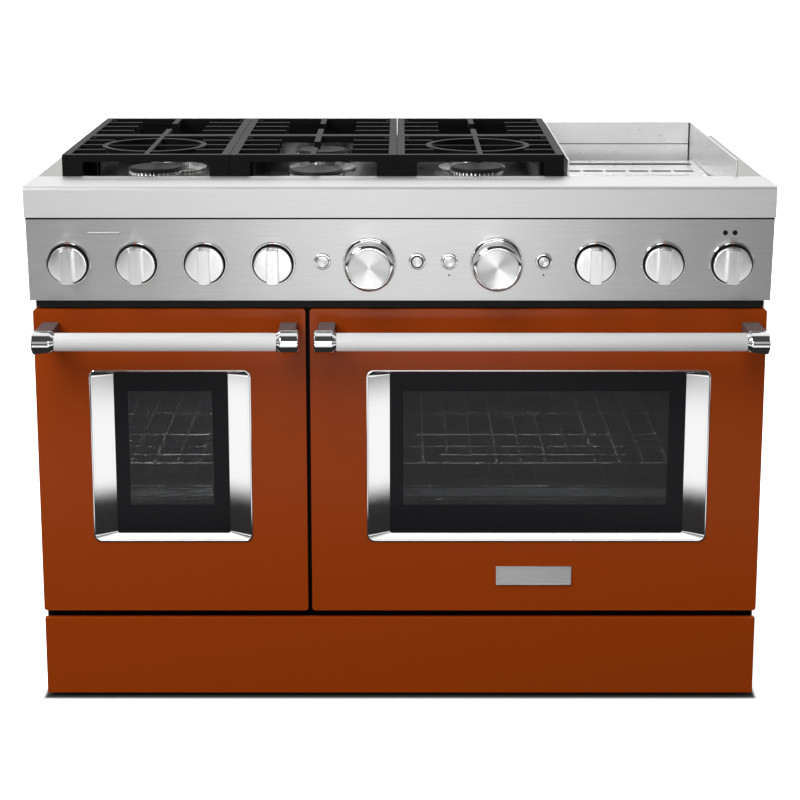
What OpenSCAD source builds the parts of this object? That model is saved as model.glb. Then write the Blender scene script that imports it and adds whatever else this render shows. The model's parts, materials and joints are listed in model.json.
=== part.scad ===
// Freestanding 48-inch gas range: two ovens, six burners and a griddle.
// X runs to the right, Y towards the back and Z up. The origin is on the floor, under the
// middle of the box that holds the whole range. Inside each module, y = 0 is the ledge's face.

/* [Overall] */
// Width over the front ledge
width = 1216; // [1212:1:1220]
// Height of the ledge's top above the floor
ledge_z = 885; // [880:1:892]
// Depth from the ledge's face to the back of the body
body_depth = 690; // [686:1:700]
// Sheet thickness of the panels
sheet = 2; // [1.5:0.1:2.4]

/* [Ledge and control panel] */
// Depth of the ledge's top
ledge_depth = 111; // [106:1:111]
// Height of the ledge's face
ledge_face = 51.3; // [48:0.1:54]
// Tilt of the control panel, its lower edge further back
panel_tilt = 5.68; // [4:0.01:7]
// Height of the control panel's lower edge
panel_z = 693; // [691:1:696]
// Pitch of the burner knobs
knob_pitch = 111.2; // [108:0.1:112]
// Distance of the knobs below the ledge's face, along the panel
knob_drop = 78; // [74:1:82]
// Radius of a burner knob
knob_r = 31; // [28:0.5:32]
// Height of a burner knob's grip above the panel
knob_h = 28; // [26:1:32]
// Radius of an oven dial
dial_r = 40.5; // [36:0.5:42]

/* [Doors] */
// Height of the doors' lower edge
door_z0 = 156; // [154:1:158]
// Height of the doors' upper edge
door_z1 = 678; // [672:1:678]
// Front face of the doors behind the ledge's face
door_y = 20; // [18:1:22]
// Thickness of a door
door_t = 45; // [44:1:46]
// Height of the hinge pins above a door's lower edge
hinge_rise = 35; // [34:1:36]
// Lower edge of the window surrounds
window_z0 = 278; // [274:1:282]
// Upper edge of the window surrounds
window_z1 = 576.3; // [570:0.1:580]

/* [Handles] */
// Distance of a handle's axis in front of the ledge's face
handle_out = 45; // [42:1:46]
// Height of a handle's axis
handle_z = 638; // [634:1:640]
// Radius of a handle's bar
handle_r = 14.8; // [13:0.1:16]
// Radius of a handle's end caps
cap_r = 20; // [18:0.5:20]

/* [Cooktop] */
// Height of the grates' top above the ledge
grate_rise = 36; // [34:1:38]
// Width of one grate
grate_w = 278.6; // [276:0.1:279]
// Left edge of the grates
grate_x0 = -562.5; // [-563:0.1:-561]
// Height of the burner well's floor
well_z = 842; // [838:1:846]
// Radius of a burner cap
burner_r = 47.5; // [42:0.5:50]

/* [Kick panel and legs] */
// Gap under the kick panel
kick_z0 = 7; // [6:1:9]
// Upper edge of the kick panel
kick_z1 = 143; // [140:1:144]
// Height of the base pan's underside
base_z = 40; // [38:1:44]

/* [Hidden] */
$fn = 64;
handle_reach = handle_out + cap_r;
shift_y = -(body_depth - handle_reach) / 2;
side_x = 606;                        // outer face of the side panels, outside the doors' swing
side_t = 1.5;                        // thickness of the side panels
inside = [-side_x + side_t, side_x - side_t];
door_back = door_y + door_t;
frame_y = door_back + 3;             // front face of the inner front frame
hinge_z = door_z0 + hinge_rise;
swing_y = door_back + 60;            // the doors' lower edges swing back this far
swing_z = 128;                       // and dip down almost to here
panel_top = ledge_z - ledge_face;
panel_len = (panel_top - panel_z) / cos(panel_tilt);
panel_y = 6;                         // control panel's face under the ledge
grate_z = ledge_z + grate_rise;
grate_y = [112, 377, 642];           // front edge, seam and back edge of the grates
well_y = [118, 646];
deck_back = 665;
griddle_x = [279, 562];
oven_z = [215, 625];
oven_back = 600;
oven_x = [[-545, -213], [-95, 550]];
rack_z = [300, 396];
rack_y = [78, 560];
fan_z = 430;
burner_x = [for (i = [0:2]) grate_x0 + grate_w * (i + 0.5)];
burner_y = [246, 515];
knob_x = concat([for (i = [0:3]) -540.5 + i * knob_pitch], [for (i = [0:2]) 318.1 + i * knob_pitch]);
dial_x = [-49.8, 157.8];
button_x = [-126.4, 28, 80.2, 234.3];
button_drop = knob_drop - 3.5;
lamp_dots = [[80.2, 98, 1.5], [234.3, 98, 1.5], [527.8, 26.3, 4.2], [543.4, 26.3, 4.2]];
button_r = 10;
stem_r = 4;
pin_r = 4;
fan_shaft_r = 4.5;
running = 0.08;                      // radial clearance of a running fit
door_x = [[-603, -155.5], [-148.5, 603]];
window_x = [[-514.4, -247], [-55.7, 514.2]];
glass_inset = [38.6, 8];             // width of the surround's bevels at the sides, above and below
badge_x = [162, 289];

// ---- shared shapes ----

module from_front() translate([0, shift_y, 0]) children();

module slab(x, y, z) translate([x[0], y[0], z[0]]) cube([x[1] - x[0], y[1] - y[0], z[1] - z[0]]);

// An outline in (y, z) drawn out from x[0] to x[1]
module along_x(x) translate([x[0], 0, 0]) rotate([90, 0, 90]) linear_extrude(x[1] - x[0]) children();

// An outline in (x, z) drawn back from y[0] to y[1]
module along_y(y) translate([0, y[1], 0]) rotate([90, 0, 0]) linear_extrude(y[1] - y[0]) children();

// An outline in (x, y) drawn up from z[0] to z[1]
module along_z(z) translate([0, 0, z[0]]) linear_extrude(z[1] - z[0]) children();

module round_rect(a, b, r) {
    translate([a[0] + r, b[0]]) square([a[1] - a[0] - 2 * r, b[1] - b[0]]);
    translate([a[0], b[0] + r]) square([a[1] - a[0], b[1] - b[0] - 2 * r]);
    for (i = [a[0] + r, a[1] - r], j = [b[0] + r, b[1] - r]) translate([i, j]) circle(r);
}

module rod_x(x, y, z, r) translate([x[0], y, z]) rotate([0, 90, 0]) cylinder(h = x[1] - x[0], r = r);
module rod_y(x, y, z, r) translate([x, y[1], z]) rotate([90, 0, 0]) cylinder(h = y[1] - y[0], r = r);

// Puts children on the control panel's face: local +Z points out of it, local +Y up along it
module on_panel(x, drop) {
    translate([x, panel_y + drop * sin(panel_tilt), panel_top - drop * cos(panel_tilt)])
        rotate([90 + panel_tilt, 0, 0]) children();
}

module ring(r_out, r_in, z0, z1) translate([0, 0, z0]) difference() {
    cylinder(h = z1 - z0, r = r_out);
    translate([0, 0, -1]) cylinder(h = z1 - z0 + 2, r = r_in);
}

// ---- body shell ----

module side_panels() from_front() color("gainsboro") for (s = [0, 1]) mirror([s, 0, 0]) {
    slab([side_x - side_t, side_x], [frame_y - 2, body_depth], [14, panel_top]);
    slab([side_x - side_t, side_x], [ledge_depth, body_depth], [panel_top - 1, 880]);
    slab([side_x - 14, side_x - 1], [body_depth - side_t, body_depth], [14, 862]);
    slab([side_x - 14, side_x - 1], [frame_y + sheet, body_depth], [14, 15.5]);
}

module back_panel() from_front() color("silver") difference() {
    union() {
        slab(inside, [672, 673.5], [base_z + 2, 838]);
        for (x = [-379, 227.5]) slab([x - 110, x + 110], [673, 686], [fan_z - 110, fan_z + 110]);
        slab([430, 560], [673, 687], [80, 180]);
    }
    for (x = [-379, 227.5], i = [0:7])
        slab([x - 80, x + 80], [660, 690], [fan_z - 84 + i * 24, fan_z - 78 + i * 24]);
    for (x = [-500, -340, -180, 180, 340, 500], i = [0:5])
        slab([x - 55, x + 55], [660, 690], [730 + i * 14, 735 + i * 14]);
    rod_y(-480, [660, 690], 110, 18);
    rod_y(495, [660, 690], 130, 11);
}

module base_pan() from_front() color("gray") {
    kick_inside = [-602.5 + sheet, 602.5 - sheet];
    slab(kick_inside, [36, frame_y + 2], [base_z, base_z + 2]);
    slab(inside, [frame_y + 1, 672], [base_z, base_z + 2]);
    slab(kick_inside, [36, 38], [base_z, swing_z]);
    for (x = [-300, 0, 300]) slab([x - 20, x + 20], [swing_y, 672], [base_z + 2, base_z + 14]);
}

module levelling_legs() from_front() color("dimgray")
    for (x = [-540, 540], y = [110, 620]) translate([x, y, 0]) {
        cylinder(h = 7, r = 25);
        cylinder(h = 15, r = 14);
        cylinder(h = base_z, r = 8);
    }

module kick_panel() from_front() color("sienna") {
    slab([-602.5, 602.5], [door_y, door_y + sheet], [kick_z0, kick_z1]);
    for (z = [kick_z0, kick_z1 - sheet]) slab([-602.5, 602.5], [door_y, 31], [z, z + sheet]);
    for (x = [-602.5, 602.5 - sheet]) {
        slab([x, x + sheet], [door_y, 31], [kick_z0, kick_z1]);
        slab([x, x + sheet], [30, frame_y], [kick_z0 + 7, swing_z]);
    }
}

module hinge_ear(x) difference() {
    along_x([x - 3, x + 3]) {
        translate([door_back, hinge_z]) circle(8);
        polygon([[door_back, hinge_z - 6], [door_back + 28, hinge_z + 13],
            [door_back - 4, hinge_z + 13], [door_back - 6, hinge_z + 4]]);
    }
    rod_x([x - 5, x + 5], door_back, hinge_z, pin_r + running);
}

module front_frame() from_front() color([0.08, 0.08, 0.08]) {
    difference() {
        slab(inside, [frame_y, frame_y + sheet], [hinge_z + 12, panel_z]);
        for (x = oven_x) slab(x, [frame_y - 1, frame_y + 5], oven_z);
    }
    slab(inside, [frame_y, swing_y], [hinge_z + 12, hinge_z + 14]);
    slab(inside, [swing_y - 2, swing_y], [base_z + 2, hinge_z + 14]);
    slab([-594, 594], [26, frame_y + 1], [door_z1 + 2, panel_z]);
    for (d = door_x, e = [d[0] + 45, d[1] - 45]) hinge_ear(e);
}

// ---- ledge and controls ----

module front_ledge() from_front() color("lightgray") {
    lip = 7;
    along_x([-width / 2, width / 2]) difference() {
        union() {
            translate([lip, ledge_z - 2 * lip]) square([ledge_depth - lip, 2 * lip]);
            translate([0, panel_top]) square([ledge_depth, ledge_face - lip]);
            translate([lip, ledge_z - lip]) circle(lip);
        }
        translate([lip, ledge_z - lip]) circle(lip - sheet);
        translate([lip, ledge_z - lip - 1]) square([ledge_depth - lip - sheet, lip + 1 - sheet]);
        translate([sheet, panel_top + sheet]) square([ledge_depth - 2 * sheet, ledge_face - lip - sheet]);
        translate([panel_y + 6, panel_top - 1]) square([ledge_depth - 2 * panel_y - 12, 4]);
    }
    for (x = [-width / 2, width / 2 - sheet])
        along_x([x, x + sheet]) {
            translate([1, panel_top + 1]) square([ledge_depth - 2, ledge_face - 8]);
            translate([lip, ledge_z - lip]) circle(lip - 1);
            translate([lip, ledge_z - 2 * lip]) square([ledge_depth - lip - 1, 2 * lip - 1]);
        }
}

module control_panel() from_front() color("silver") {
    end_x = width / 2 - 1;
    difference() {
        on_panel(0, 0) translate([-end_x, -panel_len, -sheet]) cube([2 * end_x, panel_len - 0.22, sheet]);
        for (x = knob_x) on_panel(x, knob_drop) cylinder(h = 20, r = 6, center = true);
        for (x = dial_x) on_panel(x, knob_drop) cylinder(h = 20, r = 6, center = true);
        for (x = button_x) on_panel(x, button_drop) cylinder(h = 20, r = 10.5, center = true);
        for (d = lamp_dots) on_panel(d[0], d[1]) cylinder(h = 20, r = d[2], center = true);
        on_panel(-481, 26.3) translate([-26.5, -1.2, -5]) cube([53, 2.4, 10]);
    }
    slope = sin(panel_tilt) * panel_len;
    for (x = [-end_x, end_x - sheet]) along_x([x, x + sheet]) polygon([[panel_y + sheet / 2, panel_top],
        [panel_y + slope + sheet / 2, panel_z + 1], [frame_y - 3, panel_z + 1], [frame_y - 3, panel_top]]);
    slab([-end_x, end_x], [panel_y + slope + 1, frame_y - 3], [panel_z, panel_z + sheet]);
}

module knob_bezel() {
    ring(37, 34, 0, 4.5);
    ring(35, 9, 0, 1.2);
}

module control_bezels() from_front() color("white") {
    for (x = knob_x) on_panel(x, knob_drop) knob_bezel();
    for (x = dial_x) on_panel(x, knob_drop) ring(43.5, 9, 0, 2.4);
    for (x = button_x) on_panel(x, button_drop) ring(14, button_r + 0.4, 0, 2.6);
}

module indicator_lamps() from_front() color("black")
    for (d = lamp_dots) on_panel(d[0], d[1]) translate([0, 0, -4]) cylinder(h = 4.4, r = d[2]);

module control_stem() translate([0, 0, -15]) cylinder(h = 19, r = stem_r);

module knob(x) from_front() color("silver") on_panel(x, knob_drop) {
    control_stem();
    translate([0, 0, 2.4]) cylinder(h = 10.6, r = knob_r);
    translate([0, 0, 8]) intersection() {
        cylinder(h = knob_h - 8, r = knob_r + 1);
        translate([-11.5, -40, 0]) cube([23, 80, 60]);
    }
}

module oven_dial(x) from_front() color("silver") on_panel(x, knob_drop) {
    control_stem();
    translate([0, 0, 3.2]) cylinder(h = 28, r = dial_r);
    translate([0, 0, 28]) cylinder(h = 7, r = dial_r - 7);
}

module button(x) from_front() color("silver") on_panel(x, button_drop) {
    translate([0, 0, -9]) cylinder(h = 13, r = button_r);
    translate([0, 0, -14]) cylinder(h = 8, r = 4);
}

// ---- gas supply ----

module valve(x) on_panel(x, knob_drop) difference() {
    union() {
        translate([0, 0, -20]) cylinder(h = 16, r = 9);
        translate([-13, -12, -42]) cube([26, 24, 24]);
    }
    translate([0, 0, -18]) cylinder(h = 20, r = stem_r + running);
}

module gas_manifold() from_front() color("goldenrod") {
    for (x = concat(knob_x, dial_x)) valve(x);
    on_panel(-575, knob_drop) translate([0, 0, -34]) rotate([0, 90, 0]) cylinder(h = 1150, r = 10);
}

module gas_inlet() from_front() color("darkkhaki") {
    rod_y(-480, [660, 688], 110, 10.65);
    rod_y(-480, [600, 662], 110, 20);
    slab([-510, -450], [560, 620], [base_z + 14, 150]);
}

// ---- cooktop ----

module slot_row(x, y, z, pitch, size) for (i = [x[0]:pitch:x[1]]) slab([i, i + size], y, z);

module cooktop_deck() from_front() color("whitesmoke") {
    well_x = [grate_x0 + 6, griddle_x[0] - 4];
    difference() {
        slab([-604, 604], [ledge_depth, deck_back], [ledge_z - 2, ledge_z]);
        slab(well_x, well_y, [ledge_z - 9, ledge_z + 9]);
        slab(griddle_x, [ledge_depth + 1, 656], [ledge_z - 9, ledge_z + 9]);
    }
    difference() {
        slab([well_x[0] - 2, well_x[1] + 2], [well_y[0] - 2, well_y[1] + 2], [well_z - 2, ledge_z - 1]);
        slab(well_x, well_y, [well_z, ledge_z + 9]);
    }
    for (x = [-604, 602]) slab([x, x + 2], [ledge_depth, deck_back], [868, ledge_z - 1]);
    slab([-604, 604], [deck_back - 2, deck_back], [838, ledge_z - 1]);
    difference() {
        slab([-604, 604], [deck_back - 1, body_depth], [864, 866]);
        slot_row([-540, 500], [deck_back + 6, deck_back + 16], [860, 870], 40, 28);
    }
}

module griddle_surround() from_front() color("lightgray") {
    x = griddle_x;
    for (w = [[x[0], x[0] + 3], [x[1] - 3, x[1]]]) slab(w, [113, 656], [830, 912]);
    slab([x[0], x[1]], [653, 656], [830, 912]);
    slab([x[0], x[1]], [113, 115], [830, ledge_z]);
    slab([x[0], x[1]], [113, 656], [828, 830]);
    slab([x[0] + 3, x[1] - 3], [115, 653], [830, 832]);
}

module griddle_plate() from_front() color("white") difference() {
    slab([griddle_x[0] + 7, griddle_x[1] - 7], [125, 403], [832, 848]);
    slab([griddle_x[0] + 12, griddle_x[1] - 12], [140, 390], [844, 850]);
}

module flue_grille() from_front() color("silver") difference() {
    slab([griddle_x[0] + 4, griddle_x[1] - 4], [411, 590], [832, 846]);
    slab([griddle_x[0] + 10, griddle_x[1] - 10], [418, 584], [831, 843]);
    slot_row([griddle_x[0] + 16, griddle_x[1] - 50], [440, 462], [840, 850], 41.8, 36);
    slab([griddle_x[0] + 14, griddle_x[1] - 14], [530, 560], [840, 850]);
}

// The middle burners are lower simmer burners
function burner_top(i) = i == 1 ? 873 : 878;

module burner_bases() from_front() color("gainsboro") for (i = [0:2], y = burner_y)
    translate([burner_x[i], y, 0]) difference() {
        union() {
            translate([0, 0, well_z]) cylinder(h = 4, r = 62);
            translate([0, 0, well_z]) cylinder(h = burner_top(i) - well_z, r = 41);
            translate([0, 0, burner_top(i) - 12]) cylinder(h = 12, r = burner_r - 1.5);
        }
        for (a = [0:10:350]) rotate([0, 0, a]) translate([39, -1.2, burner_top(i) - 9]) cube([12, 2.4, 10]);
    }

module burner_caps() from_front() color([0.1, 0.1, 0.1]) for (i = [0:2], y = burner_y)
    translate([burner_x[i], y, burner_top(i)]) {
        cylinder(h = 3, r = burner_r);
        cylinder(h = 5.5, r = burner_r - 3);
    }

module finger(x, y) slab(x, y, [grate_z - 14, grate_z]);

// One cast grate between x and y, with a wok ring or with plain fingers
module grate(x, y, has_ring, has_skirt) {
    cx = (x[0] + x[1]) / 2;
    cy = (y[0] + y[1]) / 2;
    rail = 13;
    for (e = [x[0], x[1] - rail]) slab([e, e + rail], y, [grate_z - 16, grate_z]);
    for (e = [y[0], y[1] - rail]) slab(x, [e, e + rail], [grate_z - 12, grate_z]);
    skirt_y = has_skirt ? [y[0], y[0] + 8] : [y[1] - 8, y[1]];
    along_y(skirt_y) difference() {
        translate([x[0], ledge_z]) square([x[1] - x[0], grate_rise]);
        round_rect([x[0] + 33, x[1] - 33], [ledge_z - 40, has_skirt ? grate_z - 11 : ledge_z + 5], has_skirt ? 7 : 2);
    }
    for (e = [x[0] + 7, x[1] - 21], f = [y[0] + 9, y[1] - 23])
        slab([e, e + 14], [f, f + 14], [has_foot(f, y, has_skirt) ? well_z : ledge_z, grate_z - 2]);
    reach = has_ring ? 62 : 76;
    for (j = [-1:1]) {
        finger([x[0] + 5, x[0] + reach], [cy + j * 62 - 4, cy + j * 62 + 4]);
        finger([x[1] - reach, x[1] - 5], [cy + j * 62 - 4, cy + j * 62 + 4]);
    }
    if (has_ring) {
        translate([cx, cy, 0]) ring(89.5, 80.5, grate_z - 11, grate_z);
        finger([cx - 4, cx + 4], [y[0] + 5, y[1] - 5]);
        slab([x[0] + 5, x[1] - 5], [cy - 2.5, cy + 2.5], [grate_z - 10, grate_z - 1]);
    } else {
        finger([cx - 5, cx + 5], [y[0] + 5, y[0] + 92]);
        finger([cx - 5, cx + 5], [y[1] - 92, y[1] - 5]);
    }
}

// Feet at the seam between the front and rear grates stand in the well
function has_foot(f, y, front) = front ? f > y[0] + 20 : f < y[0] + 20;

module grate_column(i, has_ring) from_front() color([0.09, 0.09, 0.09]) {
    x = [grate_x0 + i * grate_w + 0.4, grate_x0 + (i + 1) * grate_w - 0.4];
    grate(x, [grate_y[0], grate_y[1] - 0.5], has_ring, true);
    grate(x, [grate_y[1] + 0.5, grate_y[2]], false, false);
}

// ---- ovens ----

module oven_cavity(x) from_front() color([0.16, 0.17, 0.2]) {
    cx = (x[0] + x[1]) / 2;
    difference() {
        slab([x[0] - 2, x[1] + 2], [frame_y + 2, oven_back + 2], [oven_z[0] - 2, oven_z[1] + 2]);
        slab(x, [frame_y, oven_back], oven_z);
        rod_y(cx, [oven_back - 5, oven_back + 5], fan_z, fan_shaft_r + running);
    }
    for (z = rack_z, side = [0, 1]) {
        ledge = side == 0 ? [x[0] - 1, x[0] + 13] : [x[1] - 13, x[1] + 1];
        slab(ledge, [frame_y + 8, oven_back + 1], [z - 7, z - 3.8]);
    }
}

module bake_burners() from_front() color("silver") for (x = oven_x) {
    rod_x([x[0] + 40, x[1] - 40], 350, 252, 9);
    slab([x[0] + 60, x[1] - 60], [320, 380], [262, 264]);
    for (e = [x[0] + 60, x[1] - 68]) slab([e, e + 8], [330, 370], [oven_z[0], 262.5]);
}

module fan_covers() from_front() color("gray") for (x = oven_x) difference() {
    cx = (x[0] + x[1]) / 2;
    translate([cx, oven_back, fan_z]) rotate([90, 0, 0]) difference() {
        cylinder(h = 28, r = 92);
        translate([0, 0, -1]) cylinder(h = 27.5, r = 90.5);
        for (a = [0:30:330], r = [28, 46, 64])
            rotate([0, 0, a + r]) translate([r, 0, 0]) cylinder(h = 40, r = 5);
    }
}

module fan(x) from_front() color("silver") {
    cx = (x[0] + x[1]) / 2;
    translate([cx, oven_back - 6, fan_z]) rotate([90, 0, 0]) {
        translate([0, 0, -12]) cylinder(h = 26, r = fan_shaft_r);
        cylinder(h = 14, r = 12);
        cylinder(h = 1.5, r = 58);
        for (a = [0:45:315]) rotate([0, 0, a]) translate([20, -1, 0]) cube([46, 2, 14]);
    }
}

module oven_lamps() from_front() color("ivory") for (x = oven_x)
    translate([x[1] - 60, oven_back, 570]) rotate([90, 0, 0]) {
        cylinder(h = 8, r = 26);
        cylinder(h = 18, r = 21);
    }

// Wires of eight-sided section, welded where they cross
module rack(x, z) from_front() color("lightgray") {
    $fn = 8;
    w = [x[0] + 3.5, x[1] - 3.5];
    count = round((w[1] - w[0]) / 42);
    step = (w[1] - w[0] - 12) / count;
    for (y = [rack_y[0], rack_y[1]]) rod_x(w, y, z, 3.2);
    for (e = [w[0] + 3, w[1] - 3]) rod_y(e, rack_y, z, 3.2);
    for (y = [186, 264, 412]) rod_x([w[0] + 1, w[1] - 1], y, z - 1, 2.4);
    for (i = [1:count - 1]) rod_y(w[0] + 6 + i * step, rack_y, z + 2.4, 1.8);
    lift = [w[0] + (w[1] - w[0]) * 0.25, w[1] - (w[1] - w[0]) * 0.25];
    rod_x(lift, rack_y[0], z + 15, 3);
    for (e = [lift[0] + 2, lift[1] - 2]) translate([e, rack_y[0], z]) cylinder(h = 15, r = 2.6);
}

// ---- doors ----

module hinge_notches(x) for (e = [x[0] + 45, x[1] - 45])
    slab([e - 8, e + 8], [door_back - 17, door_back + 1], [door_z0 - 1, hinge_z + 15]);

module door_panel(x, w) from_front() color([0.55, 0.2, 0.06]) difference() {
    along_y([door_y, door_y + 30]) round_rect(x, [door_z0, door_z1], 5);
    slab([x[0] + 2, x[1] - 2], [door_y + 2, door_y + 31], [door_z0 + 2, door_z1 - 2]);
    slab([w[0] + 6, w[1] - 6], [door_y - 1, door_y + 3], [window_z0 + 4, window_z1 - 4]);
    hinge_notches(x);
}

module door_liner(x, w) from_front() color([0.2, 0.2, 0.22]) {
    inner = [[w[0] + 50, w[1] - 50], [window_z0 + 46, window_z1 - 30]];
    difference() {
        slab([x[0] + 4, x[1] - 4], [door_y + 30, door_back], [door_z0 + 4, door_z1 - 4]);
        slab([x[0] + 6, x[1] - 6], [door_y + 29, door_back - 2], [door_z0 + 6, door_z1 - 6]);
        slab(inner[0], [door_y, door_back + 1], inner[1]);
        hinge_notches(x);
    }
    difference() {
        slab([x[0] + 30, x[1] - 30], [door_back, door_back + 2.5], [hinge_z + 17, door_z1 - 36]);
        slab([x[0] + 42, x[1] - 42], [door_back - 1, door_back + 4], [hinge_z + 29, door_z1 - 48]);
    }
}

module door_surround(w) from_front() color("white") difference() {
    gx = [w[0] + glass_inset[0], w[1] - glass_inset[0]];
    gz = [window_z0 + glass_inset[1], window_z1 - glass_inset[1]];
    union() {
        along_y([door_y - 1.5, door_y]) round_rect(w, [window_z0, window_z1], 13);
        slab([w[0] + 6, w[1] - 6], [door_y - 1, door_y + 16], [window_z0 + 4, window_z1 - 4]);
    }
    intersection() {
        along_z([window_z0 - 9, window_z1 + 9]) polygon([[w[0] + 3, door_y - 2], [gx[0], door_y + 11],
            [gx[0], door_y + 20], [gx[1], door_y + 20], [gx[1], door_y + 11], [w[1] - 3, door_y - 2]]);
        along_x([w[0] - 9, w[1] + 9]) polygon([[door_y - 2, window_z0 + 2], [door_y + 11, gz[0]],
            [door_y + 20, gz[0]], [door_y + 20, gz[1]], [door_y + 11, gz[1]], [door_y - 2, window_z1 - 2]]);
    }
    slab([w[0] + 20, w[1] - 20], [door_y + 11, door_y + 20], [window_z0 + 5, window_z1 - 5]);
}

module door_glass(w) from_front() color([0.1, 0.1, 0.12, 0.6]) {
    slab([w[0] + 20, w[1] - 20], [door_y + 11, door_y + 15], [window_z0 + 5, window_z1 - 5]);
    slab([w[0] + 40, w[1] - 40], [door_back - 6, door_back - 2], [window_z0 + 36, window_z1 - 20]);
}

module handle_bar(x) from_front() color("silver")
    rod_x([x[0] + 44, x[1] - 42], -handle_out, handle_z, handle_r);

// One end of a handle: the polished cap on the bar and the arm to the door
module handle_end(x, side) {
    arm = side > 0 ? [x + 5, x + 33] : [x - 33, x - 5];
    cap = side > 0 ? [x, x + 36] : [x - 36, x];
    difference() {
        union() {
            rod_x(cap, -handle_out, handle_z, cap_r);
            slab(arm, [-handle_out - 8, door_y], [handle_z - 9, handle_z + 19]);
        }
        rod_x(side > 0 ? [x + 34, x + 40] : [x - 40, x - 34], -handle_out, handle_z, handle_r);
    }
}

module handle_brackets(x) from_front() color("white") {
    handle_end(x[0] + 10, 1);
    handle_end(x[1] - 8, -1);
}

module hinges(x) from_front() color("gray") for (e = [x[0] + 45, x[1] - 45]) {
    rod_x([e - 8, e + 8], door_back, hinge_z, pin_r);
    for (c = [e - 8, e + 5])
        slab([c, c + 3], [door_back - 17, door_back - 0.5], [hinge_z - 7, hinge_z + 15]);
    slab([e - 8, e + 8], [door_back - 17, door_back - 14], [hinge_z - 7, hinge_z + 15]);
    for (c = [e - 8, e + 5]) rod_x([c, c + 3], door_back, hinge_z, 7);
}

module badge() from_front() color("lightgray") difference() {
    slab(badge_x, [door_y - 2.5, door_y], [202, 235]);
    slab([badge_x[0] + 3, badge_x[1] - 3], [door_y - 3, door_y - 1.7], [205, 232]);
}

// ---- assembly ----

side_panels();
back_panel();
base_pan();
levelling_legs();
kick_panel();
front_frame();
front_ledge();
control_panel();
cooktop_deck();
griddle_surround();
griddle_plate();
flue_grille();
burner_bases();
burner_caps();
grate_column(0, true);  // grates_left
grate_column(1, false);  // grates_middle
grate_column(2, true);  // grates_right
gas_manifold();
gas_inlet();
oven_cavity(oven_x[0]);  // oven_cavity_left
oven_cavity(oven_x[1]);  // oven_cavity_right
bake_burners();
fan_covers();
control_bezels();
indicator_lamps();
oven_lamps();
rack(oven_x[0], rack_z[0]);  // rack_left_lower
rack(oven_x[0], rack_z[1]);  // rack_left_upper
rack(oven_x[1], rack_z[0]);  // rack_right_lower
rack(oven_x[1], rack_z[1]);  // rack_right_upper
fan(oven_x[0]);  // fan_left
fan(oven_x[1]);  // fan_right
knob(knob_x[0]);  // knob_1
knob(knob_x[1]);  // knob_2
knob(knob_x[2]);  // knob_3
knob(knob_x[3]);  // knob_4
knob(knob_x[4]);  // knob_5
knob(knob_x[5]);  // knob_6
knob(knob_x[6]);  // knob_7
oven_dial(dial_x[0]);  // oven_dial_left
oven_dial(dial_x[1]);  // oven_dial_right
button(button_x[0]);  // button_1
button(button_x[1]);  // button_2
button(button_x[2]);  // button_3
button(button_x[3]);  // button_4
door_panel(door_x[0], window_x[0]);  // door_left_panel
door_liner(door_x[0], window_x[0]);  // door_left_liner
door_surround(window_x[0]);  // door_left_surround
door_glass(window_x[0]);  // door_left_glass
handle_bar(door_x[0]);  // handle_left_bar
handle_brackets(door_x[0]);  // handle_left_brackets
hinges(door_x[0]);  // hinges_left
door_panel(door_x[1], window_x[1]);  // door_right_panel
door_liner(door_x[1], window_x[1]);  // door_right_liner
door_surround(window_x[1]);  // door_right_surround
door_glass(window_x[1]);  // door_right_glass
handle_bar(door_x[1]);  // handle_right_bar
handle_brackets(door_x[1]);  // handle_right_brackets
hinges(door_x[1]);  // hinges_right
badge();
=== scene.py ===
"""Looks for a freestanding 48-inch gas range with two ovens, six burners and a griddle.

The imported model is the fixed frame. Each class below takes one sub-assembly of the range,
builds its finished meshes around the frame's nodes and dresses them in a finish.
"""

from __future__ import annotations

import json
import logging
import math
from contextlib import contextmanager
from dataclasses import dataclass, field
from enum import Enum
from typing import Any, Callable, Iterator, Sequence

import bpy
from mathutils import Matrix, Vector

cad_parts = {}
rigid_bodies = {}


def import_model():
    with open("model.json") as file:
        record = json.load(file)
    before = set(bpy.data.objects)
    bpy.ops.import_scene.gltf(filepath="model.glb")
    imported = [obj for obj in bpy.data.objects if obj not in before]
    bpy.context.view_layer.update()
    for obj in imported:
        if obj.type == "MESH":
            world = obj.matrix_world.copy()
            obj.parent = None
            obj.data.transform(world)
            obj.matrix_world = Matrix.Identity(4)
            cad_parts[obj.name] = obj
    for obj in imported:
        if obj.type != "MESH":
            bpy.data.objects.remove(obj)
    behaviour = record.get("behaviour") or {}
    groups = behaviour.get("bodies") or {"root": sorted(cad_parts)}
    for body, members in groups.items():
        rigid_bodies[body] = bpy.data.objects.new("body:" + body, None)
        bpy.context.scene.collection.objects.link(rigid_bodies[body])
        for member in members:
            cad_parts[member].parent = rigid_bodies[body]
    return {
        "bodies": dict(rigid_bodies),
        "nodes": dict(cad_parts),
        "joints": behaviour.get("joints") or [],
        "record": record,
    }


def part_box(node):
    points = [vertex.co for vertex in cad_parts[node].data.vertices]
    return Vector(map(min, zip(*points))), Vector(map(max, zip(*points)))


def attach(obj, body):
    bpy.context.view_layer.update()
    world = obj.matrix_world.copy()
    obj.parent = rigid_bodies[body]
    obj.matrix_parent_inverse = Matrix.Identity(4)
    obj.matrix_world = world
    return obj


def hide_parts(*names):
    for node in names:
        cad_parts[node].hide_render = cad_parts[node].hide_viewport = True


LOG = logging.getLogger("gas_range")
MM = 0.001
BODY = "range_body"
# The sockets of a Mix node that mixes colours
MIX_A, MIX_B, MIX_RESULT = 6, 7, 2
SMOOTHEST = 0.02

Place = tuple[float, float, float]
Corners = tuple[Place, Place]
Profile = Sequence[tuple[float, float]]


# ---------------------------------------------------------------- colours and nodes


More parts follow.
